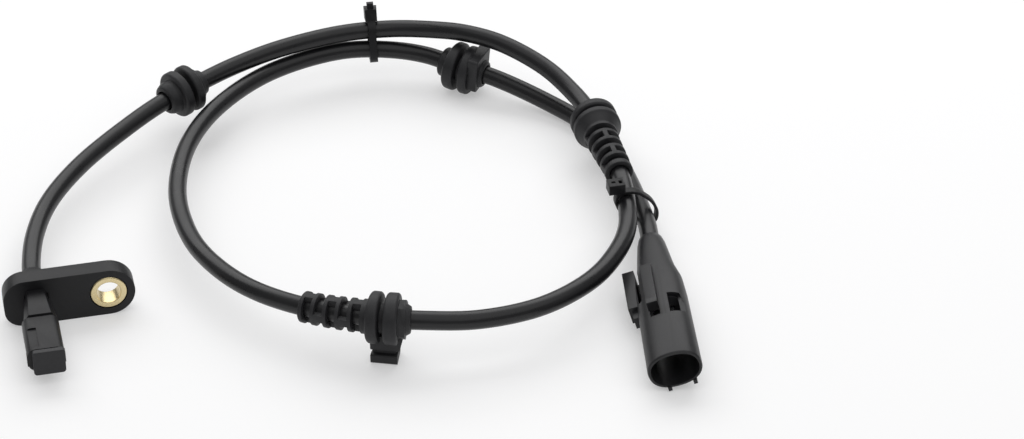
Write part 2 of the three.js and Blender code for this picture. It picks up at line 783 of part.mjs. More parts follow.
sideTie = sideTie.add(boxSolid(
  sideTieHeadX - sideTieHeadWidth / 2, sideTieHeadX + sideTieHeadWidth / 2, sideTieY, sideTieY + sideTieHeadDepth,
  sideTieHeadBase, sideHeadTop));
sideTie = sideTie.subtract(prismSolid(
  new THREE.Shape(hoopOutline(-sideStrap)), sideTieY - clearance, sideTieY + strapWidth + clearance));
const sideSlotX = sideTieHeadX + sideTieSlotShift;
sideTie = sideTie.subtract(boxSolid(
  sideSlotX, sideSlotX + sideTieSlotWidth, sideTieY + sideTieSlotFront, sideTieY + sideTieHeadDepth - sideTieSlotBack,
  sideHeadTop - sideTieSlotDepth, sideHeadTop + clearance));
addPiece('cable_tie_side', toGeometry(sideTie), palette.nylon);

// Connector, drawn with its mouth towards -Y and then turned onto the end of the route
const turnBack = connectorHeading.clone().negate();
const connectorSide = turnBack.clone().cross(new THREE.Vector3(0, 0, 1)).normalize();
const connectorUp = connectorSide.clone().cross(turnBack);
const placement = new THREE.Matrix4().makeBasis(connectorSide, turnBack, connectorUp);
placement.multiply(new THREE.Matrix4().makeRotationY(-connectorRoll * Math.PI / 180));
placement.setPosition(connectorEntry);

function addConnectorPiece(name, solid, material) {
  addPiece(name, toGeometry(solid.transform(placement.toArray())), material);
}

// A shell through cross sections given as distance, half width, half height and squareness
function loftedSolid(sections) {
  const corners = 48;
  const positions = [];
  for (const [distance, halfWidth, halfHeight, square] of sections) {
    for (let i = 0; i < corners; i += 1) {
      const angle = 2 * Math.PI * i / corners;
      const c = Math.cos(angle);
      const s = Math.sin(angle);
      positions.push(
        halfWidth * Math.sign(c) * Math.abs(c) ** (2 / square), -distance, halfHeight * Math.sign(s) * Math.abs(s) ** (2 / square));
    }
  }
  const indices = [];
  for (let ring = 0; ring < sections.length - 1; ring += 1) {
    for (let i = 0; i < corners; i += 1) {
      const a = ring * corners + i;
      const b = ring * corners + (i + 1) % corners;
      indices.push(a, b, a + corners, b, b + corners, a + corners);
    }
  }
  const last = (sections.length - 1) * corners;
  for (let i = 1; i < corners - 1; i += 1) {
    indices.push(0, i + 1, i);
    indices.push(last, last + i, last + i + 1);
  }
  const geometry = new THREE.BufferGeometry();
  geometry.setAttribute('position', new THREE.Float32BufferAttribute(positions, 3));
  geometry.setIndex(indices);
  return toSolid(geometry);
}

const mouthStart = connectorLength - mouthLength;
let shell = loftedSolid([
  [shellStart, collarHalfWidth - 2 * entryChamfer, collarHalfWidth - 2 * entryChamfer, 2],
  [shellStart + 2 * entryChamfer, collarHalfWidth - entryChamfer, collarHalfWidth - entryChamfer, 2],
  [collarStart, collarHalfWidth, collarHalfHeight, 2],
  [waistStart, waistHalfWidth, waistHalfHeight, shellSquareness],
  [(waistStart + shoulderStart) / 2, (waistHalfWidth + shoulderHalfWidth) / 2 - mouthChamfer,
    (waistHalfHeight + shoulderHalfHeight) / 2, shellSquareness],
  [shoulderStart, shoulderHalfWidth, shoulderHalfHeight, shellSquareness],
  [mouthStart, connectorHalfWidth, connectorHalfHeight, shellSquareness],
  [connectorLength, connectorHalfWidth - mouthChamfer, connectorHalfHeight - mouthChamfer, shellSquareness],
]);

// Side rail with a slot behind it and a step under its front end
const railBack = -railEnd - overlap;
shell = shell.subtract(boxSolid(
  -railInner, -railInner + railSlot, railBack, -railStart, railBottom + railFloor, connectorHalfHeight));
shell = shell.add(boxSolid(-railOuter, -railInner, -railEnd, -railStart, railBottom, railTop));
shell = shell.add(boxSolid(
  -railOuter, -railInner + railSlot, -railEnd, -railStart - railFloorInset, railBottom, railBottom + railFloor));
shell = shell.add(boxSolid(-stepOuter, -stepInner, -stepEnd, railBack, stepLevel, stepTop));

// Latch ridge with its hook, a slot either side and a window before the hook
const ridgeLeft = ridgeCentre - ridgeWidth / 2;
const ridgeRight = ridgeCentre + ridgeWidth / 2;
const ridgeFoot = socketHalfHeight + clearance;
const hookWindowEnd = -ridgeEnd - hookWindowLength;
shell = shell.add(boxSolid(ridgeLeft, ridgeRight, -ridgeEnd, -ridgeStart, ridgeFoot, ridgeTop - ridgeBackStep));
shell = shell.add(boxSolid(ridgeLeft, ridgeRight, -ridgeEnd, -ridgeStart - ridgeBackLength, ridgeFoot, ridgeTop));
shell = shell.add(boxSolid(ridgeLeft, ridgeRight, -ridgeEnd, -ridgeEnd + hookLength, ridgeFoot, hookTop));
const slotFloor = connectorHalfHeight - ridgeSlotDepth;
shell = shell.subtract(boxSolid(ridgeRight, ridgeRight + ridgeSlotWidth, hookWindowEnd, -ridgeStart, slotFloor, hookTop));
shell = shell.subtract(boxSolid(ridgeLeft, ridgeRight, hookWindowEnd, -ridgeEnd, windowFloor, hookTop));

const windowShape = polygonShape([
  [windowInner, -windowStart],
  [windowInner, -windowEnd],
  [windowFrontOuter, -windowEnd + windowSlant],
  [windowBackOuter, -windowStart],
]);
const windowGeometry = new THREE.ExtrudeGeometry(windowShape, { depth: hookTop - windowFloor, bevelEnabled: false });
windowGeometry.translate(0, 0, windowFloor);
shell = shell.subtract(toSolid(windowGeometry));
for (const side of [-1, 1]) {
  const x = nubCentre + side * nubSpacing;
  shell = shell.add(boxSolid(
    x - nubWidth / 2, x + nubWidth / 2, -connectorLength - nubReach, -connectorLength + nubLength,
    -connectorHalfHeight - nubDrop, -connectorHalfHeight + nubRoot));
}

// Bore for the cable, chamber for the cores and the socket, which opens a little towards the mouth
const chamberShape = roundedShape(
  -chamberWidth / 2, chamberWidth / 2, -chamberHeight / 2, chamberHeight / 2, chamberCorner, chamberCorner);
shell = shell.subtract(rodSolid(cableRadius + clearance, -entryBoreEnd, 0));
shell = shell.subtract(prismSolid(chamberShape, -chamberEnd - overlap, -entryBoreEnd + overlap));
shell = shell.subtract(loftedSolid([
  [chamberEnd, socketHalfWidth, socketHalfHeight, shellSquareness],
  [connectorLength + nubReach + overlap, connectorHalfWidth - mouthWall, connectorHalfHeight - mouthWall, shellSquareness],
]));
addConnectorPiece('connector_housing', shell, palette.shell);

let holder = loftedSolid([
  [chamberEnd + clearance, socketHalfWidth - clearance, socketHalfHeight - clearance, shellSquareness],
  [holderEnd, socketHalfWidth - clearance, socketHalfHeight - clearance, shellSquareness],
]);
const halfSlotX = pinWidth / 2 + clearance;
const halfSlotZ = pinThickness / 2 + clearance;
for (const side of [-1, 1]) {
  const x = side * pinSpacing;
  holder = holder.subtract(boxSolid(
    x - halfSlotX, x + halfSlotX, -holderEnd - clearance, -chamberEnd, -halfSlotZ, halfSlotZ));
}
addConnectorPiece('pin_holder', holder, palette.nose);

for (const [side, label] of [[-1, 'left'], [1, 'right']]) {
  const x = side * pinSpacing;
  const pin = boxSolid(x - pinWidth / 2, x + pinWidth / 2, -pinEnd, -pinStart, -pinThickness / 2, pinThickness / 2);
  addConnectorPiece(`terminal_pin_${label}`, pin, palette.tin);
  const coreStart = entryDepth + clearance;
  const coreEnd = pinStart - clearance;
  const core = rodSolid(coreRadius, -coreEnd, -coreStart, 0, 0).warp((vertex) => {
    const part = (-vertex[1] - coreStart) / (coreEnd - coreStart);
    vertex[0] += side * (coreSpacing + part * (pinSpacing - coreSpacing));
  });
  addConnectorPiece(`connector_core_${label}`, core, palette.core);
}

export default group;
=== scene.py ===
import json
import math

import bmesh
import bpy
import numpy as np
from mathutils import Matrix, Vector


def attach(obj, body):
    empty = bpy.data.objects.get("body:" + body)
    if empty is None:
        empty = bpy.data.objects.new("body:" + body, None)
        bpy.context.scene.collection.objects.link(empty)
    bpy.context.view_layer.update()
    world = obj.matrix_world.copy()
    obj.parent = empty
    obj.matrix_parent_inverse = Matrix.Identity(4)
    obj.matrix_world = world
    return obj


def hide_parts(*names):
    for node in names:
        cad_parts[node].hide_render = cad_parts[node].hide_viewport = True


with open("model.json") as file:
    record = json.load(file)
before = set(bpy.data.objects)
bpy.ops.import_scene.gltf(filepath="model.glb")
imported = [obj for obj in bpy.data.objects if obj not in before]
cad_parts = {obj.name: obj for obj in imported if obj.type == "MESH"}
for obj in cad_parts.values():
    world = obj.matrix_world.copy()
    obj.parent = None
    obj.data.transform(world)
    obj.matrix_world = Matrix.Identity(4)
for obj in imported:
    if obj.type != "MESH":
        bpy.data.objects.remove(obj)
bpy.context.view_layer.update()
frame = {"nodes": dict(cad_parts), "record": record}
scene = bpy.context.scene
MM = 0.001

# Values shared with the CAD source, in millimetres
PROBE_X, BUSH_X, AXIS_Z, FLANGE_Y = -8.8, 10.2, 7.0, 8.0
BOSS_END_Y = 19
CABLE_R, BORE_R = 2.55, 2.9
ENTRY = np.array([156.4, -0.6, 7.05])
HEADING = np.array([-0.1545, -0.988, -0.003])
HEADING /= np.linalg.norm(HEADING)
ROUTE_POINTS = [
    (PROBE_X, 12, 7), (PROBE_X, BOSS_END_Y, 7), (-8.5, 25, 7.1), (-6.1, 37.9, 7.6), (-0.6, 51.9, 8.3),
    (9.8, 66.6, 9.2), (25.1, 80.9, 10.7), (36.6, 89.5, 11.9), (48.7, 96.2, 12.9), (59.2, 100.8, 14),
    (73.3, 105.4, 15), (91.8, 109, 15.3), (106.5, 107.8, 15.7), (118.1, 102.6, 16.9), (126.7, 96.4, 18.2),
    (136, 89.1, 17.7), (146.4, 78.1, 14.7), (152.1, 66.2, 12.2), (154.1, 56, 11.7), (154.2, 40, 11.6),
    (154.7, 24, 11), (153.4, 13, 10.4), (150.4, 1, 10.2), (144.7, -9.4, 10.2), (134.8, -20.6, 10.6),
    (118.8, -30, 11.4), (101.8, -32.9, 12.2), (88, -31.1, 12.9), (74.6, -26.4, 12.9), (57.5, -16, 12),
    (45, -2.6, 11.1), (36.4, 16, 10.2), (33.8, 33, 9.7), (34.9, 50.5, 9.4), (41.3, 71.2, 9.3),
    (52.7, 88.3, 9.4), (70.4, 102.3, 9.6), (91.8, 108.3, 9.8), (106.1, 106, 9.6), (116.6, 101.9, 8.6),
    (125, 95, 7.5), (133.6, 88.8, 6.5), (146.4, 77.3, 3.6), (155.5, 63.5, 2.6), (159.2, 48, 2.6),
    (159.5, 34, 3.2), (158.8, 20.5, 4.8), (157.5, 6.3, 6.6), tuple(ENTRY), tuple(ENTRY + 6 * HEADING),
]

# Where the pieces on the cable sit, in millimetres along it from the flange
REAR_LEFT_AT, TOP_TIE_AT, BOOT_AT, CLIP_AT = 102.7, 163.4, 249.4, 386.6
LOWER_STRAND_AT, REAR_RIGHT_AT = 580.7, 609.3

# Camera at the photograph's viewing angle: its focal length is 3170 of the picture's 1024 columns
SENSOR_WIDTH = 36
FOCAL_COLUMNS, PICTURE_COLUMNS = 3170, 1024
camera_data = bpy.data.cameras.new("camera")
camera_data.sensor_width = SENSOR_WIDTH
camera_data.lens = SENSOR_WIDTH * FOCAL_COLUMNS / PICTURE_COLUMNS
camera_data.clip_start = 0.02
camera_data.clip_end = 20
camera = bpy.data.objects.new("camera", camera_data)
camera.location = (-0.0409, -0.6758, 0.5047)
camera.rotation_euler = (math.radians(55.011), 0, math.radians(-13.24))
scene.collection.objects.link(camera)
scene.camera = camera


# Route of the cable
def route_curve(points, steps):
    """Centripetal Catmull-Rom line through the points: each span is a cubic whose end slopes come from
    neighbouring chords, weighted by the fourth root of their squared lengths."""
    p = np.array(points, float)
    p = np.vstack([2 * p[0] - p[1], p, 2 * p[-1] - p[-2]])
    part = np.linspace(0, 1, steps, endpoint=False)[:, None]
    square, cube = part ** 2, part ** 3
    spans = []
    for i in range(1, len(p) - 2):
        a, b, c, d = p[i - 1:i + 3]
        before, here, after = (((v - u) ** 2).sum() ** 0.25 for u, v in ((a, b), (b, c), (c, d)))
        slope_b = ((b - a) / before - (c - a) / (before + here) + (c - b) / here) * here
        slope_c = ((c - b) / here - (d - b) / (here + after) + (d - c) / after) * here
        spans.append(b + slope_b * part + (3 * (c - b) - 2 * slope_b - slope_c) * square
                     + (2 * (b - c) + slope_b + slope_c) * cube)
    return np.vstack(spans + [p[-2][None]])


LINE = route_curve(ROUTE_POINTS, 60)
STATIONS = np.concatenate([[0], np.cumsum(np.linalg.norm(np.diff(LINE, axis=0), axis=1))])
TANGENTS = np.gradient(LINE, STATIONS, axis=0)
CABLE_LENGTH = float(STATIONS[-1])


def route_frame(stations):
    """Place, direction, sideways and upward axis of the route at each station in millimetres."""
    place = np.stack([np.interp(stations, STATIONS, LINE[:, k]) for k in range(3)], 1)
    along = np.stack([np.interp(stations, STATIONS, TANGENTS[:, k]) for k in range(3)], 1)
    along /= np.linalg.norm(along, axis=1)[:, None]
    up = np.array([[0, 0, 1.0]]) - along * along[:, 2:3]
    up /= np.linalg.norm(up, axis=1)[:, None]
    return place, along, np.cross(along, up), up


# Places: each function carries points from where a piece is drawn to where it lies, in millimetres
def stay(points):
    """Leaves points where they are drawn."""
    return points


def along_route(station):
    """Carries points drawn straight, with Y along the cable, round the curve of the cable."""
    def carry(points):
        place, _, side, up = route_frame(station + points[:, 1])
        return place + side * points[:, :1] + up * points[:, 2:3]
    return carry


def on_flange(x):
    """Moves points drawn round an axis along Y to that axis in the flange, with Y from its front face."""
    def carry(points):
        return points + np.array([x, FLANGE_Y, AXIS_Z])
    return carry


def turned_about_length(points, angle):
    """Turns points about Y, so that upward leans towards -X for a positive angle."""
    c, s = math.cos(-angle), math.sin(-angle)
    x, y, z = points.T
    return np.column_stack([c * x + s * z, y, -s * x + c * z])


# Shader maths: a wrapper round sockets, so that node trees read as formulas
def add_node(tree, kind, inputs=None, **settings):
    """A node of a kind: its settings are made first, then the values or links of its sockets."""
    new = tree.nodes.new(kind)
    for key, value in settings.items():
        setattr(new, key, value)
    for key, value in (inputs or {}).items():
        if isinstance(value, Sock):
            tree.links.new(value.socket, new.inputs[key])
        else:
            new.inputs[key].default_value = value
    return new


class Sock:
    def __init__(self, tree, socket):
        self.tree, self.socket = tree, socket

    def node(self, kind, output, inputs, **settings):
        return Sock(self.tree, add_node(self.tree, kind, inputs, **settings).outputs[output])

    def math(self, operation, first, second):
        return self.node("ShaderNodeMath", "Value", {0: first, 1: second}, operation=operation)

    def __add__(self, other):
        return self.math("ADD", self, other)

    def __sub__(self, other):
        return self.math("SUBTRACT", self, other)

    def __rsub__(self, other):
        return self.math("SUBTRACT", other, self)

    def __mul__(self, other):
        return self.math("MULTIPLY", self, other)

    __radd__ = __add__
    __rmul__ = __mul__

    def largest(self, other):
        return self.math("MAXIMUM", self, other)

    def noise(self, scale, detail, rough):
        inputs = {"Vector": self, "Scale": scale, "Detail": detail, "Roughness": rough}
        return self.node("ShaderNodeTexNoise", "Fac", inputs)

    def spread(self, to_low, to_high):
        """The middle of a noise, from 0.3 to 0.7, spread over a new range."""
        inputs = {"Value": self, "From Min": 0.3, "From Max": 0.7, "To Min": to_low, "To Max": to_high}
        return self.node("ShaderNodeMapRange", "Result", inputs)

    def between(self, dark, light):
        """A colour between two, by this value."""
        return self.node("ShaderNodeMix", 2, {0: self, 6: (*dark, 1), 7: (*light, 1)}, data_type="RGBA")

    def bump(self, strength, distance):
        inputs = {"Height": self, "Strength": strength, "Distance": distance}
        return self.node("ShaderNodeBump", "Normal", inputs)


# Finishes
def linear(*rgb):
    """Display values from 0 to 255 as linear light."""
    return tuple(((v / 255 + 0.055) / 1.055) ** 2.4 if v > 10 else v / 255 / 12.92 for v in rgb)


def grey(value):
    """A dark grey with a trace of blue, from 0 to 255 as displayed."""
    return linear(value, value, value + 2)


def material(name, dark, light, rough, metal=0.0, grain=0.00002, grain_scale=4000, patch_scale=60,
             specular=0.5, streak=None):
    """A moulded, drawn or turned surface: two tones mixed by patchy noise, roughness that varies with it,
    and a fine grain as bump, its height in metres. The streak is a stretch of the noise along Y."""
    made = bpy.data.materials.new(name)
    made.use_nodes = True
    tree = made.node_tree
    shader = tree.nodes["Principled BSDF"]
    place = Sock(tree, add_node(tree, "ShaderNodeTexCoord").outputs["Object"])
    if streak:
        place = place.node("ShaderNodeMapping", "Vector", {"Vector": place, "Scale": streak})
    patches = place.noise(patch_scale, 4.0, 0.6)
    fine = place.noise(grain_scale, 2.0, 0.5)
    speck = place.noise(grain_scale * 0.35, 2.0, 0.6)
    colour = (patches * 0.7 + speck * 0.3).spread(0.0, 1.0).between(dark, light)
    roughness = (patches * 0.6 + fine * 0.4).spread(rough - 0.06, rough + 0.08)
    tree.links.new(colour.socket, shader.inputs["Base Color"])
    tree.links.new(roughness.socket, shader.inputs["Roughness"])
    tree.links.new(fine.bump(0.5, grain).socket, shader.inputs["Normal"])
    shader.inputs["Metallic"].default_value = metal
    shader.inputs["Specular IOR Level"].default_value = specular
    return made


FINISHES = {
    "black_moulding": dict(dark=grey(24), light=grey(31), rough=0.44, grain=0.00003, grain_scale=3000,
                           specular=0.29),
    "grey_black_moulding": dict(dark=grey(42), light=grey(52), rough=0.42, grain_scale=3500, specular=0.28),
    "brass": dict(dark=linear(212, 194, 146), light=linear(226, 211, 172), rough=0.28, metal=1.0,
                  grain_scale=2500, streak=(1.0, 0.15, 1.0)),
    "cable_sheath": dict(dark=grey(22), light=grey(28), rough=0.3, grain_scale=2600, patch_scale=120,
                         specular=0.38),
    "black_rubber": dict(dark=grey(34), light=grey(43), rough=0.5, grain=0.00004, grain_scale=2400,
                         specular=0.34),
    "black_nylon": dict(dark=grey(18), light=grey(24), rough=0.42, grain_scale=3500, specular=0.25),
    "connector_moulding": dict(dark=grey(30), light=grey(38), rough=0.4, grain=0.000025, grain_scale=3200,
                               specular=0.34),
    "chip_epoxy": dict(dark=grey(26), light=grey(34), rough=0.35),
    "ferrite": dict(dark=grey(70), light=grey(88), rough=0.5, metal=0.4),
    "tinned_copper": dict(dark=linear(176, 178, 180), light=linear(206, 208, 210), rough=0.28, metal=1.0),
    "core_insulation": dict(dark=linear(132, 84, 48), light=linear(150, 98, 60), rough=0.45),
}
MATERIALS = {name: material(name, **look) for name, look in FINISHES.items()}


# Mesh building, straight and in millimetres. A piece is baked, carried into place and made in metres.
def raw(name, verts, faces):
    mesh = bpy.data.meshes.new(name)
    mesh.from_pydata(np.asarray(verts, float).tolist(), [], [tuple(int(i) for i in f) for f in faces])
    work = bmesh.new()
    work.from_mesh(mesh)
    bmesh.ops.remove_doubles(work, verts=work.verts, dist=1e-5)
    bmesh.ops.recalc_face_normals(work, faces=work.faces)
    work.to_mesh(mesh)
    work.free()
    made = bpy.data.objects.new(name, mesh)
    scene.collection.objects.link(made)
    return made


def bake(piece):
    """Applies the modifiers of a piece to its mesh."""
    graph = bpy.context.evaluated_depsgraph_get()
    graph.update()
    mesh = bpy.data.meshes.new_from_object(piece.evaluated_get(graph))
    piece.modifiers.clear()
    piece.data = mesh
    return piece


def combine(piece, tools, operation):
    """Adds tools to a piece or cuts them out of it, one after another, and deletes the tools."""
    for tool in tools:
        step = piece.modifiers.new("combine", "BOOLEAN")
        step.operation = operation
        step.solver = "EXACT"
        step.object = tool
        bake(piece)
        bpy.data.objects.remove(tool)
    return piece


def add(piece, *tools):
    return combine(piece, tools, "UNION")


def cut(piece, *tools):
    return combine(piece, tools, "DIFFERENCE")


def soften(piece, width, segments, angle):
    """Rounds the edges that are sharper than the angle in degrees."""
    step = piece.modifiers.new("soften", "BEVEL")
    step.width = width
    step.segments = segments
    step.limit_method = "ANGLE"
    step.angle_limit = math.radians(angle)
    step.use_clamp_overlap = True
    return bake(piece)


def finish_piece(piece, carry, node, slot, smooth_angle=42):
    """Carries a piece to its place, in metres, shades it, gives it its finish and hides the node it stands
    for.
    """
    mesh = piece.data
    points = np.empty(len(mesh.vertices) * 3)
    mesh.vertices.foreach_get("co", points)
    points = carry(points.reshape(-1, 3)) * MM
    mesh.vertices.foreach_set("co", points.ravel())
    mesh.polygons.foreach_set("use_smooth", np.ones(len(mesh.polygons), bool))
    mesh.set_sharp_from_angle(angle=math.radians(smooth_angle))
    mesh.update()
    mesh.materials.clear()
    mesh.materials.append(MATERIALS[slot])
    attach(piece, "root")
    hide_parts(node)
    return piece


def rounded(outline, radius, steps=3):
    """Closed outline with each corner turned into a short quadratic curve that starts a radius away from it,
    or less than half way along a shorter side."""
    corner = np.array(outline, float)
    before, after = np.roll(corner, 1, 0) - corner, np.roll(corner, -1, 0) - corner
    long_before, long_after = (np.linalg.norm(side, axis=1)[:, None] for side in (before, after))
    start = corner + before / long_before * np.minimum(radius, 0.42 * long_before)
    end = corner + after / long_after * np.minimum(radius, 0.42 * long_after)
    t = np.linspace(0, 1, steps + 1)[:, None]
    curves = (1 - t) ** 2 * start[:, None] + 2 * t * (1 - t) * corner[:, None] + t * t * end[:, None]
    return curves.reshape(-1, 2)


def box_outline(x0, x1, z0, z1, top, bottom, steps=8):
    """A rectangle with circular corners, one radius for the upper and one for the lower pair. Points that
    fall on the next one, where two corners meet, are left out."""
    centres = np.array([(x0 + bottom, z0 + bottom), (x1 - bottom, z0 + bottom), (x1 - top, z1 - top),
                        (x0 + top, z1 - top)])
    radii = np.array([bottom, bottom, top, top])[:, None, None]
    turns = (np.array([2, 3, 0, 1])[:, None] + np.arange(steps + 1) / steps) * math.pi / 2
    made = (centres[:, None] + radii * np.stack([np.cos(turns), np.sin(turns)], 2)).reshape(-1, 2)
    return made[np.linalg.norm(np.roll(made, -1, 0) - made, axis=1) > 1e-3]


def octagon(radius):
    """Corners of an octagon whose sides lie a radius away from its centre."""
    t = (np.arange(8) + 0.5) * math.pi / 4
    return np.column_stack([np.cos(t), np.sin(t)]) * radius / math.cos(math.pi / 8)


def circle_outline(radius, count, x):
    """Even points of a circle in X and Z whose centre lies at x."""
    t = np.arange(count) * 2 * math.pi / count
    return np.column_stack([x + radius * np.cos(t), radius * np.sin(t)])


def ring_faces(rings, count, closed):
    """Four-sided faces between neighbouring rings of points, with the last joined to the first if closed."""
    i, j = np.meshgrid(np.arange(rings if closed else rings - 1), np.arange(count), indexing="ij")
    k, m = (i + 1) % rings, (j + 1) % count
    return np.stack([i * count + j, i * count + m, k * count + m, k * count + j], 2).reshape(-1, 4)


def stack_of_rings(name, rings):
    """A closed solid through rings with equally many points, given as an array of rings, points and axes."""
    rows, count, _ = rings.shape
    caps = [range(count), range((rows - 1) * count, rows * count)]
    return raw(name, rings.reshape(-1, 3), [*ring_faces(rows, count, False), *caps])


def between_outlines(name, low, y0, high, y1):
    """The solid between two outlines in X and Z with matching points, at two places along Y."""
    return stack_of_rings(name, np.stack([np.column_stack([line[:, 0], np.full(len(line), y), line[:, 1]])
                                          for line, y in ((np.array(low), y0), (np.array(high), y1))]))


def prism(name, outline, y0, y1):
    """A closed outline in X and Z carried along Y."""
    return between_outlines(name, outline, y0, outline, y1)


def brick(name, x0, x1, y0, y1, z0, z1):
    return prism(name, [(x0, z0), (x1, z0), (x1, z1), (x0, z1)], y0, y1)


def rod(name, radius, y0, y1, x=0.0, end_radius=None, count=64):
    """A round bar or cone along Y."""
    end = circle_outline(radius if end_radius is None else end_radius, count, x)
    return between_outlines(name, circle_outline(radius, count, x), y0, end, y1)


def lathe(name, outline, count=96, radius=0.35, steps=3):
    """A closed outline of radius and length pairs, its corners rounded, turned about Y."""
    line = rounded(outline, radius, steps)
    angle = np.arange(count) * 2 * math.pi / count
    across, ones = line[:, :1], np.ones((1, count))
    verts = np.stack([across * np.cos(angle), line[:, 1:2] * ones, across * np.sin(angle)], 2)
    return raw(name, verts.reshape(-1, 3), ring_faces(len(line), count, True))


def lofted(name, sections, count=96):
    """A closed shell through superellipses, each given as distance, half width, half height and power:
    across is the half width times the cosine raised to two over the power, and up the same with the sine."""
    distance, wide, high, power = np.array(sections, float).T[:, :, None]
    angle = np.arange(count) * 2 * math.pi / count
    c, s = np.cos(angle), np.sin(angle)
    across = wide * np.sign(c) * np.abs(c) ** (2 / power)
    up = high * np.sign(s) * np.abs(s) ** (2 / power)
    return stack_of_rings(name, np.stack([across, -distance + 0 * angle, up], 2))


# Cable: a round tube swept along the route
def swept_tube(name, stations, radius, count):
    """Rings of a circle placed at each station of the route, closed by a face at each end."""
    place, _, side, up = route_frame(stations)
    angle = (np.arange(count) * 2 * math.pi / count)[None, :, None]
    return stack_of_rings(name, place[:, None] + radius * (np.cos(angle) * side[:, None]
                                                           + np.sin(angle) * up[:, None]))


cable = swept_tube("lead_cable", np.linspace(0, CABLE_LENGTH, 720), CABLE_R, 28)
finish_piece(cable, stay, "cable", "cable_sheath")


# Rubber mouldings on the cable. Lengths are measured along the cable from the middle of each.
DISC_BACK, GROOVE_FROM, GROOVE_TO, DISC_FRONT = -4, -1, 0.3, 3
DISC_EDGE, GROOVE_R, COLLAR_R = 0.5, 4, 3.5
HUB_BORE = BORE_R + 0.3
LATTICE_BORE = CABLE_R + 0.12
WINDOW_REACH = 9


def discs(radius, left, right, front=DISC_FRONT):
    """Outline of two discs with a groove between, with hubs given as radius and length pairs."""
    rim = radius - DISC_EDGE
    back_disc = [(rim, DISC_BACK), (radius, DISC_BACK + DISC_EDGE), (radius, GROOVE_FROM - DISC_EDGE),
                 (rim, GROOVE_FROM)]
    groove = [(GROOVE_R, GROOVE_FROM), (GROOVE_R, GROOVE_TO)]
    front_disc = [(rim, GROOVE_TO), (radius, GROOVE_TO + DISC_EDGE), (radius, front - DISC_EDGE),
                  (rim, front)]
    return [*left, *back_disc, *groove, *front_disc, *right]


def row_windows(centre, sideways, half_bar, half_window):
    """Two cutters either side of the bars that stay in one row of a lattice."""
    span = (centre - half_window, centre + half_window)
    near, far = half_bar, WINDOW_REACH
    if sideways:
        return [brick("cutter", near, far, *span, -far, far), brick("cutter", -far, -near, *span, -far, far)]
    return [brick("cutter", -far, far, *span, near, far), brick("cutter", -far, far, *span, -far, -near)]


def rear_left_grommet():
    """Two discs with a stepped collar on one side and a tapered one on the other."""
    back, front = -7.4, 6.2
    outline = discs(6.8, [(BORE_R, back), (COLLAR_R, back), (4.2, -7.06), (4.9, -5.36), (4.9, DISC_BACK)],
                    [(5.2, DISC_FRONT), (4.7, 4.4), (4.1, 4.4), (COLLAR_R, front), (BORE_R, front)])
    skin = lathe("grommet_rear_left_skin", outline)
    return finish_piece(skin, along_route(REAR_LEFT_AT), "grommet_rear_left", "black_rubber")


def rear_right_grommet():
    """Two discs with a plain collar on one side, and a block with a hub on the other."""
    back, front, hub = -7.2, 6.9, 4.2
    outline = discs(7.2, [(BORE_R, back), (COLLAR_R, back), (4.4, -6.56), (4.4, DISC_BACK)],
                    [(hub, DISC_FRONT), (hub, 6.1), (3.6, front), (BORE_R, front)])
    skin = lathe("grommet_rear_right_skin", outline)
    block = prism("block", box_outline(-5.1, 5.1, -4.3, 6.5, 0.9, 1.6, 5), 2.6, 5.8)
    cut(block, rod("bore", HUB_BORE, 2, 8))
    soften(block, 0.3, 3, 40)
    add(skin, block)
    return finish_piece(skin, along_route(REAR_RIGHT_AT), "grommet_rear_right", "black_rubber")


def boot_grommet():
    """Two discs and a tapering lattice boot, whose rows have their bars on top and at the sides in turn."""
    start, pitch, rows = 5.85, 3.5, 5
    end = start + rows * pitch
    lip_end = end + 1.1
    outline = discs(6.8, [(BORE_R, -5), (COLLAR_R, -5), (4.4, -4.4), (4.4, DISC_BACK)],
                    [(4.8, start - 0.5), (4.8, start), (4, end), (4, lip_end), (LATTICE_BORE, lip_end),
                     (LATTICE_BORE, start), (BORE_R, start - 0.75)])
    skin = lathe("grommet_boot_skin", outline, radius=0.3)
    for row in range(rows):
        cut(skin, *row_windows(start + (row + 0.5) * pitch, row % 2 == 1, 0.65, 1.15))
    soften(skin, 0.16, 2, 50)
    return finish_piece(skin, along_route(BOOT_AT), "grommet_boot", "black_rubber")


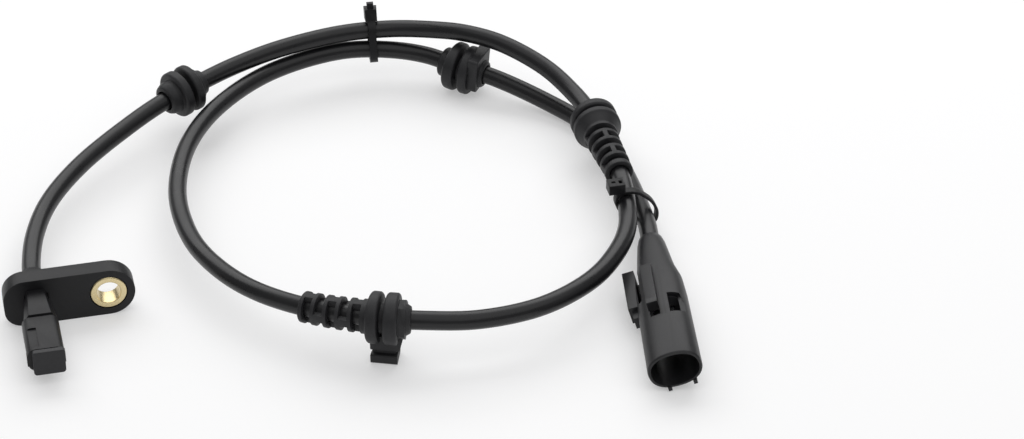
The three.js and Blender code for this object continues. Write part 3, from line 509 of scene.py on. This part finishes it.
def front_clip_grommet():
    """Two discs with a lattice behind, an octagonal hub in front, and a wedge and web down to the foot."""
    start, pitch, rows = -5.2, 3.3, 5
    end = start - rows * pitch
    lip_end = end - 0.6
    disc_front, hub_end, front = 3.8, 5.6, 6.9
    lattice_side = [(LATTICE_BORE, lip_end), (4.2, lip_end), (4.2, end), (4.6, start), (4.6, DISC_BACK)]
    hub_side = [(4.3, disc_front), (4.3, hub_end), (COLLAR_R, front), (BORE_R, front),
                (BORE_R, start + 0.75), (LATTICE_BORE, start)]
    outline = discs(6.9, lattice_side, hub_side, disc_front)
    skin = lathe("grommet_front_clip_skin", outline, radius=0.3)
    for row in range(rows):
        cut(skin, *row_windows(start - (row + 0.5) * pitch, row % 2 == 0, 1.05, 1.15))
    foot = prism("foot", box_outline(-3, 3, -12.8, -10.1, 0.5, 0.5, 4), -3.7, 3.4)
    web = brick("web", -1.7, 1.7, -3.2, 2.9, -10.5, -4)
    wedge_half = 2.6
    wedge_side = np.array([(-3.7, -8.6), (4.0, -8.6), (5.0, -4.2), (-3.7, -4.2)])
    wedge = stack_of_rings("wedge", np.stack([np.column_stack([np.full(4, x), wedge_side])
                                              for x in (-wedge_half, wedge_half)]))
    hub = prism("hub", octagon(4.9), 3.4, hub_end)
    cut(wedge, rod("bore", BORE_R + 0.4, -30, 30))
    cut(hub, rod("bore", HUB_BORE, 2, 8))
    add(skin, foot, web, wedge, hub)
    soften(skin, 0.16, 2, 50)

    def facing_back(points):
        """The clip is turned half round before it is carried along the cable."""
        return along_route(CLIP_AT)(points * np.array([-1, -1, 1]))
    return finish_piece(skin, facing_back, "grommet_front_clip", "black_rubber")


rear_left = rear_left_grommet()
rear_right = rear_right_grommet()
boot = boot_grommet()
clip = front_clip_grommet()


# Cable ties
def top_tie():
    """A closed strap round both strands with its head and tail on top. It is drawn upright on the upper
    strand and leaned by the angle at which the lower strand lies."""
    upper, _, side, up = (v[0] for v in route_frame(np.array([TOP_TIE_AT])))
    lower = route_frame(np.array([LOWER_STRAND_AT]))[0][0]
    drop_side, drop_up = (lower - upper) @ side, (lower - upper) @ up
    drop, lean = math.hypot(drop_side, drop_up), math.atan2(drop_side, -drop_up)
    inside, outside = CABLE_R + 0.4, CABLE_R + 1.4
    strap, hole = (box_outline(-r, r, -drop - r, r, r, r, 12) for r in (outside, inside))
    skin = prism("cable_tie_top_skin", strap, -1.2, 1.2)
    add(skin, brick("head", -2.35, 2.15, -1.8, 1.8, inside + 0.3, inside + 3.9),
        brick("tail", -1.1, 1.1, -0.95, 0.95, inside + 3.5, inside + 5.4))
    cut(skin, prism("hole", hole, -3, 3),
        brick("slot", -1.75, -1.25, -1.0, 1.0, inside + 3.2, inside + 5.5))
    soften(skin, 0.18, 3, 40)

    def leaning(points):
        return along_route(TOP_TIE_AT)(turned_about_length(points, lean))
    return finish_piece(skin, leaning, "cable_tie_top", "black_nylon")


# Points in X and Z of the loose tie's hoop
HOOP = np.array([(149.9, 11.4), (150.8, 13.5), (153.4, 14.2), (156.2, 13.7), (158.7, 12), (161, 9.6),
                 (162.4, 6.2), (161.9, 3.2), (159.6, 2), (156.6, 2.6), (153.3, 5.4), (150.6, 8.7)], float)
HOOP_FROM, HOOP_TO, HOOP_THICK = 11.8, 14.2, 0.8


def closed_line(points, count):
    """Even points on a closed smooth line through the given ones. The line runs on past its start, and the
    spans that overlap are left out."""
    steps, lead = 40, 2
    loop = np.vstack([points[-lead:], points, points[:lead + 1]])
    line = route_curve(np.column_stack([loop, np.zeros(len(loop))]), steps)[lead * steps:-lead * steps, :2]
    run = np.concatenate([[0], np.cumsum(np.linalg.norm(np.diff(line, axis=0), axis=1))])
    at = np.linspace(0, run[-1], count, endpoint=False)
    return np.stack([np.interp(at, run, line[:, k]) for k in (0, 1)], 1)


def strap_ring(name, line, y0, y1, thick):
    """A strap of rounded rectangular section swept round a closed line: each point of the line is moved
    along its normal by the section's depth and set at the section's place along Y."""
    along = np.roll(line, -1, 0) - np.roll(line, 1, 0)
    along /= np.linalg.norm(along, axis=1)[:, None]
    out = np.column_stack([-along[:, 1], along[:, 0]])
    section = rounded([(0, y0), (-thick, y0), (-thick, y1), (0, y1)], 0.2, 3)
    moved = line + out * section[:, :1, None]
    verts = np.stack([moved[:, :, 0], section[:, 1:] + 0 * moved[:, :, 0], moved[:, :, 1]], 2)
    return raw(name, verts.reshape(-1, 3), ring_faces(len(section), len(line), True))


def side_tie():
    """A loose hoop with its locking head on top, which has a slot and a notch."""
    skin = strap_ring("cable_tie_side_skin", closed_line(HOOP, 120), HOOP_FROM, HOOP_TO, HOOP_THICK)
    head = brick("head", 148.2, 152.8, HOOP_FROM, 15.7, 13.7, 16.7)
    cut(head, brick("slot", 151.3, 152.2, 13.0, 14.3, 15.3, 18),
        brick("notch", 149.3, 150.3, 13.4, 14.2, 16.2, 18))
    soften(head, 0.25, 3, 40)
    add(skin, head)
    return finish_piece(skin, stay, "cable_tie_side", "black_nylon")


top_tie_skin = top_tie()
side_tie_skin = side_tie()

# Sensor head, with Y from the front face of the flange
FLANGE_HALF, FLANGE_R, FLANGE_THICK = 17.25, 7, 5
SQUARE_END, SQUARE_TOP_R, SQUARE_BOTTOM_R = 17.5, 5.8, 4.8
BUSH_R, BUSH_BORE_R, BUSH_EDGE = 4.9, 3.25, 0.3
BOSS_ROOT_R, BOSS_TIP_R = 4.6, 3.8
NECK_END, SLEEVE_FROM, SLEEVE_END, NOSE_END = -10.8, -11.3, -25.4, -27
SLEEVE_LEFT, SLEEVE_RIGHT, SLEEVE_BOTTOM, SLEEVE_TOP = -5.1, 4.5, -3.3, 3.7


def neck_section(width, top_width, x):
    """Eight corners of a section of the neck: chamfered below, sloping shoulders above."""
    half = width / 2
    foot = half - 1.2
    bottom, side_low, side_high, top = -3.6, -2.4, 2.2, 4.1
    return [(x - half, side_low), (x - foot, bottom), (x + foot, bottom), (x + half, side_low),
            (x + half, side_high), (x + top_width / 2, top), (x - top_width / 2, top), (x - half, side_high)]


def sleeve():
    """The box-shaped sleeve with a sunken panel on top and a small ear on each side."""
    outline = box_outline(SLEEVE_LEFT, SLEEVE_RIGHT, SLEEVE_BOTTOM, SLEEVE_TOP, 2.1, 2.6, 8)
    made = prism("sleeve", outline, SLEEVE_END, SLEEVE_FROM)
    cut(made, brick("panel", -4.1, -1.8, -24.4, -16, SLEEVE_TOP - 0.5, 5))
    ear_back, ear_half = SLEEVE_END + 2, 1.5
    left_ear = brick("ear", SLEEVE_LEFT - 0.15, -4.7, SLEEVE_END, ear_back, -ear_half, ear_half)
    right_ear = brick("ear", 4.1, SLEEVE_RIGHT + 0.15, SLEEVE_END, ear_back, -ear_half, ear_half)
    return add(made, left_ear, right_ear)


def head_housing():
    """Flange, neck, sleeve and boss in one moulding, with the cavity for the carrier and the cable's bore."""
    flange = box_outline(-FLANGE_HALF, FLANGE_HALF, -FLANGE_R, FLANGE_R, FLANGE_R, FLANGE_R, 20)
    square = box_outline(-SQUARE_END, 0, -FLANGE_R, FLANGE_R, SQUARE_TOP_R, SQUARE_BOTTOM_R, 14)
    skin = prism("head_housing_skin", flange, 0, FLANGE_THICK)
    add(skin, prism("square_end", square, 0, FLANGE_THICK))
    soften(skin, 0.6, 4, 60)
    cut(skin, rod("bush_hole", BUSH_R + 0.15, -1, FLANGE_THICK + 1, BUSH_X, count=96))
    neck = between_outlines("neck", neck_section(5.9, 4.2, -0.2), 0.4,
                            neck_section(8.8, 5.8, -0.1), NECK_END)
    add(neck, prism("groove", box_outline(-4, 4, -3, 2.9, 1, 1, 4), -12.5, -10.4))
    boss = rod("boss", BOSS_ROOT_R, 4.6, BOSS_END_Y - FLANGE_Y, end_radius=BOSS_TIP_R, count=72)
    add(neck, sleeve(), boss)
    add(neck, rod("bridge", 3.3, 0.2, 4.8, count=48))
    soften(neck, 0.22, 3, 38)
    neck.data.transform(Matrix.Translation((PROBE_X, 0, 0)))
    add(skin, neck)
    cavity = box_outline(PROBE_X - 3.2, PROBE_X + 3.2, -2.75, 2.75, 0.4, 0.4, 4)
    cut(skin, prism("cavity", cavity, SLEEVE_END - 0.5, 1), rod("bore", CABLE_R + 0.3, 0.6, 12, PROBE_X))
    return finish_piece(skin, on_flange(0), "head_housing", "black_moulding", 36)


def mounting_bush():
    """A turned ring, bevelled inside the ends of its outside, that stands out of the flange a little."""
    front, back = -0.1, FLANGE_THICK + 0.1
    rim = BUSH_R - BUSH_EDGE
    outline = [(BUSH_BORE_R, front), (rim, front), (BUSH_R, front + BUSH_EDGE), (BUSH_R, back - BUSH_EDGE),
               (rim, back), (BUSH_BORE_R, back)]
    skin = lathe("mounting_bush_skin", outline, 128, radius=0.22, steps=4)
    return finish_piece(skin, on_flange(BUSH_X), "mounting_bush", "brass", 50)


def element_carrier():
    """The nose block that closes the sleeve, with a hollow shank inside it."""
    nose = box_outline(-3.9, 4.4, -3.6, 3.6, 0.6, 0.9, 6)
    skin = prism("element_carrier_skin", nose, NOSE_END, SLEEVE_END - 0.03)
    soften(skin, 0.15, 3, 60)
    add(skin, prism("shank", box_outline(-2.9, 2.9, -2.45, 2.45, 0.3, 0.3, 3), -26.1, -8))
    cut(skin, brick("pocket", -2.3, 2.3, -26.2, -7.7, -1.95, 1.95))
    return finish_piece(skin, on_flange(PROBE_X), "element_carrier", "grey_black_moulding")


head_housing()
mounting_bush()
element_carrier()

# Connector, drawn with its mouth towards -Y and rolled about its length
ROLL = math.radians(17)
back = -HEADING
con_side = np.cross(back, [0, 0, 1])
con_side /= np.linalg.norm(con_side)
con_up = np.cross(con_side, back)

# Sections of the shell and of its socket: distance from the cable's entry, half width, half height, power
SHELL = [(1.2, 2.7, 2.7, 2), (1.5, 2.9, 2.9, 2), (2.2, 3.4, 3.4, 2), (4.5, 3.9, 3.85, 2),
         (10, 4.5, 4.2, 2.3), (15.75, 5.15, 4.68, 2.3), (21.5, 6.4, 5.15, 2.3), (22.5, 6.5, 5.2, 2.3),
         (29, 6.85, 5.25, 2.3), (58, 7.15, 5.6, 2.3), (58.4, 7.05, 5.5, 2.3), (58.6, 6.85, 5.3, 2.3)]
SOCKET = [(26, 5.55, 4.4, 2.3), (59.4, 6.35, 4.8, 2.3)]
RAIL_OUT, RAIL_IN, RAIL_BACK, RAIL_LOW = -9, -4.7, -15.6, -2.6
RIDGE_LEFT, RIDGE_RIGHT, RIDGE_BACK, HOOK_TIP, HOOK_OPEN_TO = -3.4, -0.4, -19.6, -38, -41
WINDOW = [(2.2, -32.6), (2.2, -41), (6.6, -40.6), (5.3, -32.6)]
NUB_X = (-2.8, 4.0)


def connector_place(points):
    """Rolls the connector about its length and turns it onto the end of the route."""
    x, y, z = turned_about_length(points, ROLL).T[:, :, None]
    return ENTRY + x * con_side + y * back + z * con_up


def connector_rail():
    """The guide rail on the left, with its root against the shell and a lower step in front."""
    rail = brick("rail", RAIL_OUT, -5.8, -31.5, RAIL_BACK, RAIL_LOW, 2.4)
    add(rail, brick("rail_root", RAIL_OUT, RAIL_IN, -31.5, -17.6, RAIL_LOW, -1.2),
        brick("step", -8.2, -4.6, -34.4, -31, -2.4, 1))
    return soften(rail, 0.3, 3, 40)


def latch_ridge():
    """The ridge on top, which rises in two steps to the hook at its tip."""
    ridge = brick("ridge", RIDGE_LEFT, RIDGE_RIGHT, HOOK_TIP, RIDGE_BACK, 4.7, 6.3)
    add(ridge, brick("ridge_top", RIDGE_LEFT, RIDGE_RIGHT, HOOK_TIP, RIDGE_BACK - 2, 5, 6.9),
        brick("hook", RIDGE_LEFT, RIDGE_RIGHT, HOOK_TIP, -35.6, 5, 7.5))
    return soften(ridge, 0.2, 3, 40)


def connector_housing():
    """Shell, rail, ridge and nubs in one moulding, with its slots, windows, chamber and socket."""
    skin = lofted("connector_skin", SHELL)
    cut(skin, brick("rail_slot", -5.8, RAIL_IN, -31.9, RAIL_BACK, -1.2, 5.6))
    rail, ridge = connector_rail(), latch_ridge()
    cut(skin, brick("slot", RIDGE_RIGHT, 1.2, -41.4, RIDGE_BACK, 5.05, 8.3))
    add(skin, rail, ridge)
    corners = np.array(WINDOW)
    window = stack_of_rings("window", np.stack([np.column_stack([corners, np.full(4, z)]) for z in (3, 8)]))
    cut(skin, brick("hook_window", -3.1, RIDGE_RIGHT, HOOK_OPEN_TO, HOOK_TIP, 4.3, 8.3), window)
    for x in NUB_X:
        add(skin, brick("nub", x - 0.5, x + 0.5, -59, -55.6, -5.9, -4.7))
    chamber = box_outline(-4, 4, -2.5, 2.5, 0.8, 0.8, 4)
    cut(skin, rod("bore", CABLE_R + 0.3, -9, 2), prism("chamber", chamber, -26.4, -8.6),
        lofted("socket", SOCKET))
    return finish_piece(skin, connector_place, "connector_housing", "connector_moulding", 36)


shell = connector_housing()

# Inner pieces keep the CAD's shape and get their finish
SLOT_OF = {part["node"]: part["material_slot"] for part in frame["record"]["subparts"]}
HEAD_INSIDE = ("hall_chip", "bias_magnet", "carrier_terminal_left", "carrier_terminal_right",
               "head_core_left", "head_core_right")
CONNECTOR_INSIDE = ("pin_holder", "terminal_pin_left", "terminal_pin_right", "connector_core_left",
                    "connector_core_right")
for node in HEAD_INSIDE + CONNECTOR_INSIDE:
    frame["nodes"][node].data.materials[0] = MATERIALS[SLOT_OF[node]]

on_cable = [rear_left, rear_right, boot, clip, top_tie_skin, side_tie_skin, shell]
on_cable += [frame["nodes"][node] for node in CONNECTOR_INSIDE]


# Floor: a plain diffuse plane with a little glow that only the camera and reflections see
FLOOR_HALF = 4
FLOOR_COLOUR = (0.64, 0.64, 0.644, 1)
FLOOR_GLOW = 0.36
WHITE = (1, 1, 1, 1)


def floor_paint():
    made = bpy.data.materials.new("floor_paint")
    made.use_nodes = True
    tree = made.node_tree
    tree.nodes.clear()
    path = add_node(tree, "ShaderNodeLightPath")
    seen = Sock(tree, path.outputs["Is Camera Ray"]).largest(Sock(tree, path.outputs["Is Glossy Ray"]))
    diffuse = seen.node("ShaderNodeBsdfDiffuse", 0, {"Color": FLOOR_COLOUR})
    glow = seen.node("ShaderNodeEmission", 0, {"Color": WHITE, "Strength": seen * FLOOR_GLOW})
    both = seen.node("ShaderNodeAddShader", 0, {0: diffuse, 1: glow})
    add_node(tree, "ShaderNodeOutputMaterial", {"Surface": both})
    return made


floor_mesh = bpy.data.meshes.new("floor")
floor_corners = [(x * FLOOR_HALF, y * FLOOR_HALF, 0) for x, y in ((-1, -1), (1, -1), (1, 1), (-1, 1))]
floor_mesh.from_pydata(floor_corners, [], [(0, 1, 2, 3)])
floor_mesh.materials.append(floor_paint())
floor = bpy.data.objects.new("floor", floor_mesh)
scene.collection.objects.link(floor)

# World and lamps: a plain white surround, a wide box lamp behind and a square one above
WORLD_STRENGTH = 0.3
world = bpy.data.worlds.new("world")
scene.world = world
world.use_nodes = True
background = world.node_tree.nodes["Background"]
background.inputs["Strength"].default_value = WORLD_STRENGTH
background.inputs["Color"].default_value = WHITE


def softbox(name, place, target, width, depth, power):
    """A rectangular lamp at a place in metres, turned towards a target."""
    data = bpy.data.lights.new(name, "AREA")
    data.shape = "RECTANGLE"
    data.size = width
    data.size_y = depth
    data.energy = power
    lamp = bpy.data.objects.new(name, data)
    lamp.location = place
    lamp.rotation_euler = (Vector(target) - Vector(place)).to_track_quat("-Z", "Y").to_euler()
    scene.collection.objects.link(lamp)


softbox("back_box", (0.12, 0.85, 0.85), (0.07, 0.03, 0), 2.0, 0.9, 11.5)
softbox("top_box", (0.25, -0.28, 1.15), (0.07, 0.0, 0), 1.8, 1.8, 7.5)

scene.view_settings.view_transform = "Standard"
